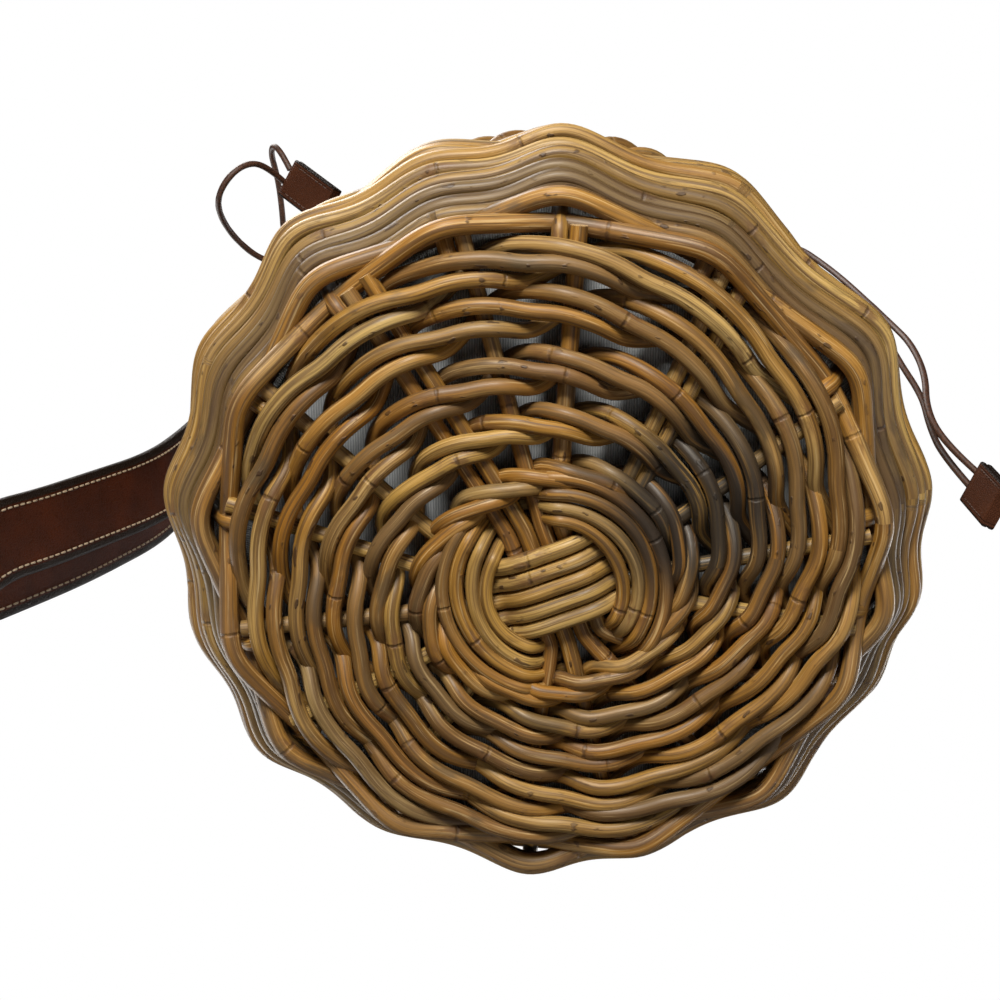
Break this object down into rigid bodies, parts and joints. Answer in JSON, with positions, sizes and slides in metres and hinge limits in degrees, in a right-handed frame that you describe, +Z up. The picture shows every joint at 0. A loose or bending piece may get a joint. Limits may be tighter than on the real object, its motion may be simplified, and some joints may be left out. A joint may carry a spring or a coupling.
{
  "type": "bucket bag",
  "caption": "Round woven cane bucket bag with a cloth drawstring liner, leather pull tabs and a stitched leather shoulder strap.",
  "frame": {"origin": "where the bag axis meets the surface that the base stands on", "axes": "+Z up through the mouth, with the strap lying over the -X side"},
  "size_m": [0.37, 0.2535, 0.2808],
  "materials": {
    "cane": "satin natural cane skin",
    "liner_cloth": "fine ribbed cotton",
    "strap_leather": "smooth, dark burnished edges",
    "cord_leather": "satin round lace",
    "tab_leather": "satin with cut edges",
    "rivet_brass": "dulled"
  },
  "bodies": {
    "basket": {"base_centre_canes": "cane", "base_cross_canes": "cane", "base_round_1": "cane", "base_round_2": "cane", "base_round_3": "cane", "base_round_4": "cane", "base_round_5": "cane", "base_round_6": "cane", "base_round_7": "cane", "base_ties_left": "cane", "base_ties_right": "cane", "left_drawstring": "cord_leather", "left_rivets": "rivet_brass", "liner_bag": "liner_cloth", "liner_hem": "liner_cloth", "right_drawstring": "cord_leather", "right_rivets": "rivet_brass", "rim_border": "cane", "strap_left_end": "strap_leather", "strap_right_end": "strap_leather", "wall_band_1": "cane", "wall_band_2": "cane", "wall_band_3": "cane", "wall_band_4": "cane", "wall_band_5": "cane", "wall_band_6": "cane", "wall_foot_canes": "cane", "wall_stakes": "cane"},
    "hanging_strap": {"strap_loop": "strap_leather"},
    "left_pull_tails": {"left_tab": "tab_leather", "left_tail_a": "cord_leather", "left_tail_b": "cord_leather"},
    "right_pull_tails": {"right_tab": "tab_leather", "right_tail_a": "cord_leather", "right_tail_b": "cord_leather"}
  },
  "joints": [
    {"name": "strap_swing", "type": "hinge", "parent": "basket", "child": "hanging_strap", "pos_m": [-0.133, 0.021, 0.279], "axis": [0, 1, 0], "range_deg": [0, 40]},
    {"name": "left_pull", "type": "slide", "parent": "basket", "child": "left_pull_tails", "axis": [-0.8, -0.6, 0], "range_m": [0, 0.03]},
    {"name": "right_pull", "type": "slide", "parent": "basket", "child": "right_pull_tails", "axis": [0.8, -0.6, 0], "range_m": [0, 0.03]}
  ]
}
